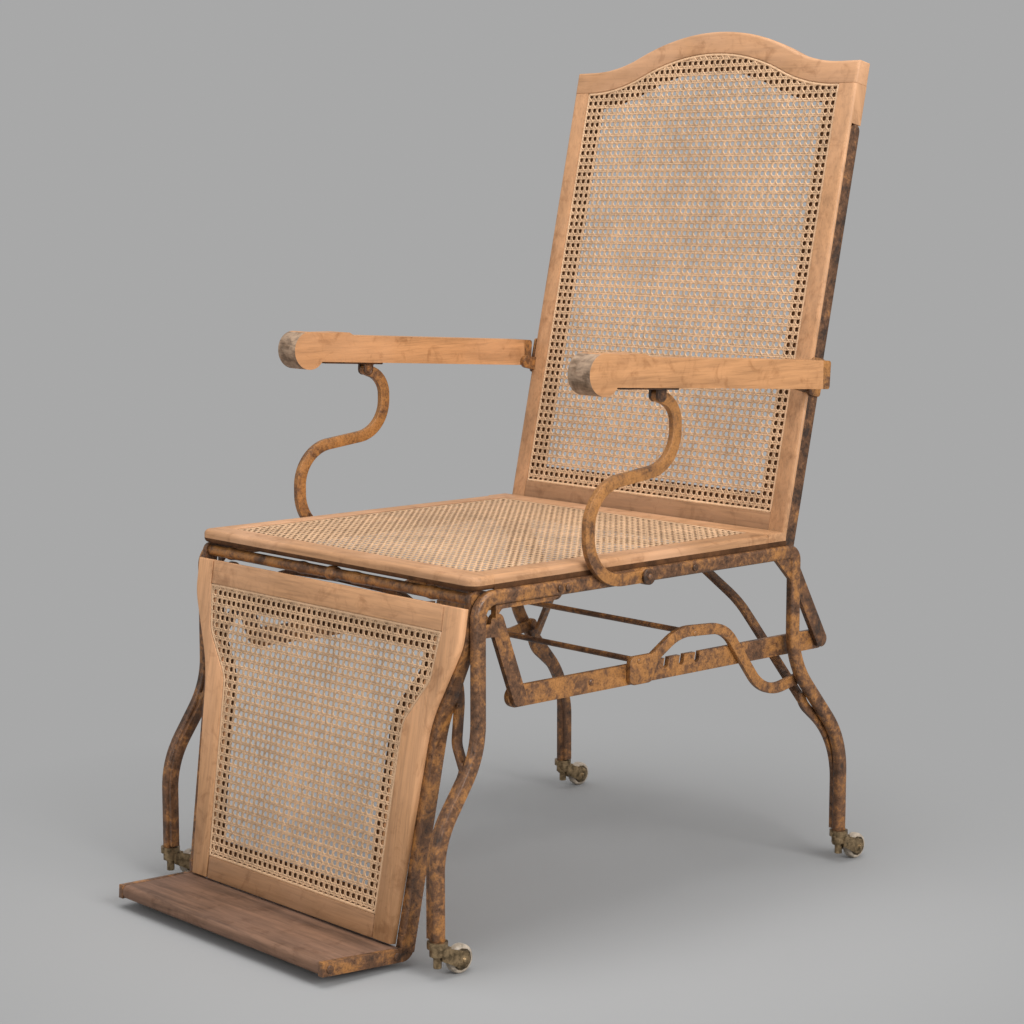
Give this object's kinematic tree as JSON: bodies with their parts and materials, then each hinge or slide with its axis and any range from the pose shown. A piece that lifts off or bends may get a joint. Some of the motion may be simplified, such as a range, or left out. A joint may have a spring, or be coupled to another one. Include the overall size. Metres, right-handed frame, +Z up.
{
  "type": "planters chair",
  "caption": "Reclining planters chair with an iron frame on castors, cane seat, tall arched cane back, wooden arms on S-shaped supports and a cane leg rest with a footboard.",
  "frame": {"origin": "on the floor, under the middle of the chair's box", "axes": "+X across the chair, to the right as seen from the front; +Y to the rear; +Z up. Left and right in the names are as seen from the front."},
  "size_m": [0.6092, 0.8956, 1.1288],
  "materials": {
    "iron": "old brown paint worn to ochre and rust",
    "brass": "tarnished",
    "porcelain": "pale glazed, worn",
    "frame_wood": "light tan, waxed and worn",
    "arm_wood": "mid brown, polished by use",
    "foot_wood": "dark brown, dry",
    "cane": "split cane, natural"
  },
  "bodies": {
    "frame": {"side_frame_left": "iron", "side_frame_right": "iron", "front_cross_rod": "iron", "rear_cross_rod": "iron", "front_arch_brace": "iron", "rear_arch_brace": "iron", "front_corner_straps": "iron", "rail_rivets": "iron", "arm_support_bolts": "iron", "catch_pivot_bolts": "iron", "castor_sockets": "brass", "seat_front_rail": "frame_wood", "seat_back_rail": "frame_wood", "seat_side_rail_left": "frame_wood", "seat_side_rail_right": "frame_wood", "seat_cane": "cane"},
    "back": {"back_stile_left": "frame_wood", "back_stile_right": "frame_wood", "back_crest_rail": "frame_wood", "back_bottom_rail": "frame_wood", "back_cane": "cane", "back_iron_left": "iron", "back_iron_right": "iron", "arm_hinge_brackets": "iron", "back_link_pins": "iron"},
    "leg_rest": {"leg_rest_stile_left": "frame_wood", "leg_rest_stile_right": "frame_wood", "leg_rest_top_rail": "frame_wood", "leg_rest_bottom_rail": "frame_wood", "leg_rest_cane": "cane", "leg_rest_iron_left": "iron", "leg_rest_iron_right": "iron", "leg_rest_link_pins": "iron", "footboard": "foot_wood", "footboard_screws": "iron"},
    "link_left": {"link_bar_left": "iron"},
    "link_right": {"link_bar_right": "iron"},
    "catch": {"catch_lever_left": "iron", "catch_lever_right": "iron", "catch_rod": "iron", "catch_handle_rod": "iron"},
    "arm_body_left": {"arm_left": "arm_wood", "arm_plate_left": "iron", "arm_pins_left": "iron"},
    "support_left": {"arm_support_left": "iron"},
    "arm_body_right": {"arm_right": "arm_wood", "arm_plate_right": "iron", "arm_pins_right": "iron"},
    "support_right": {"arm_support_right": "iron"},
    "castor_front_left": {"castor_fork_front_left": "brass"},
    "wheel_front_left": {"castor_wheel_front_left": "porcelain"},
    "castor_front_right": {"castor_fork_front_right": "brass"},
    "wheel_front_right": {"castor_wheel_front_right": "porcelain"},
    "castor_rear_left": {"castor_fork_rear_left": "brass"},
    "wheel_rear_left": {"castor_wheel_rear_left": "porcelain"},
    "castor_rear_right": {"castor_fork_rear_right": "brass"},
    "wheel_rear_right": {"castor_wheel_rear_right": "porcelain"}
  },
  "joints": [
    {"name": "recline", "type": "hinge", "parent": "frame", "child": "back", "pos_m": [0, 0.28844, 0.438], "axis": [-1, 0, 0], "range_deg": [0, 50]},
    {"name": "leg_rest_lift", "type": "hinge", "parent": "frame", "child": "leg_rest", "pos_m": [0, -0.26056, 0.438], "axis": [-1, 0, 0], "range_deg": [0, 50]},
    {"name": "link_turn_left", "type": "hinge", "parent": "back", "child": "link_left", "pos_m": [-0.2552, 0.35919, 0.31258], "axis": [-1, 0, 0], "range_deg": [-50, 0]},
    {"name": "arm_turn_left", "type": "hinge", "parent": "back", "child": "arm_body_left", "pos_m": [-0.2856, 0.30744, 0.659], "axis": [-1, 0, 0], "range_deg": [-50, 0]},
    {"name": "support_turn_left", "type": "hinge", "parent": "frame", "child": "support_left", "pos_m": [-0.2838, 0.00244, 0.44], "axis": [-1, 0, 0], "range_deg": [0, 50]},
    {"name": "link_turn_right", "type": "hinge", "parent": "back", "child": "link_right", "pos_m": [0.2552, 0.35919, 0.31258], "axis": [-1, 0, 0], "range_deg": [-50, 0]},
    {"name": "arm_turn_right", "type": "hinge", "parent": "back", "child": "arm_body_right", "pos_m": [0.2856, 0.30744, 0.659], "axis": [-1, 0, 0], "range_deg": [-50, 0]},
    {"name": "support_turn_right", "type": "hinge", "parent": "frame", "child": "support_right", "pos_m": [0.2838, 0.00244, 0.44], "axis": [-1, 0, 0], "range_deg": [0, 50]},
    {"name": "catch_lift", "type": "hinge", "parent": "frame", "child": "catch", "pos_m": [0, 0.31744, 0.266], "axis": [-1, 0, 0], "range_deg": [0, 4]},
    {"name": "swivel_front_left", "type": "hinge", "parent": "frame", "child": "castor_front_left", "pos_m": [-0.273, -0.32656, 0.04], "axis": [0, 0, 1], "continuous": true},
    {"name": "roll_front_left", "type": "hinge", "parent": "castor_front_left", "child": "wheel_front_left", "pos_m": [-0.273, -0.29356, 0.0175], "axis": [1, 0, 0], "continuous": true},
    {"name": "swivel_front_right", "type": "hinge", "parent": "frame", "child": "castor_front_right", "pos_m": [0.273, -0.32656, 0.04], "axis": [0, 0, 1], "continuous": true},
    {"name": "roll_front_right", "type": "hinge", "parent": "castor_front_right", "child": "wheel_front_right", "pos_m": [0.273, -0.29356, 0.0175], "axis": [1, 0, 0], "continuous": true},
    {"name": "swivel_rear_left", "type": "hinge", "parent": "frame", "child": "castor_rear_left", "pos_m": [-0.273, 0.39344, 0.04], "axis": [0, 0, 1], "continuous": true},
    {"name": "roll_rear_left", "type": "hinge", "parent": "castor_rear_left", "child": "wheel_rear_left", "pos_m": [-0.273, 0.42644, 0.0175], "axis": [1, 0, 0], "continuous": true},
    {"name": "swivel_rear_right", "type": "hinge", "parent": "frame", "child": "castor_rear_right", "pos_m": [0.273, 0.39344, 0.04], "axis": [0, 0, 1], "continuous": true},
    {"name": "roll_rear_right", "type": "hinge", "parent": "castor_rear_right", "child": "wheel_rear_right", "pos_m": [0.273, 0.42644, 0.0175], "axis": [1, 0, 0], "continuous": true}
  ],
  "couplings": [
    {"joint": "leg_rest_lift", "follows": "recline", "ratio": 1},
    {"joint": "link_turn_left", "follows": "recline", "ratio": -1},
    {"joint": "arm_turn_left", "follows": "recline", "ratio": -1},
    {"joint": "support_turn_left", "follows": "recline", "ratio": 1},
    {"joint": "link_turn_right", "follows": "recline", "ratio": -1},
    {"joint": "arm_turn_right", "follows": "recline", "ratio": -1},
    {"joint": "support_turn_right", "follows": "recline", "ratio": 1}
  ]
}
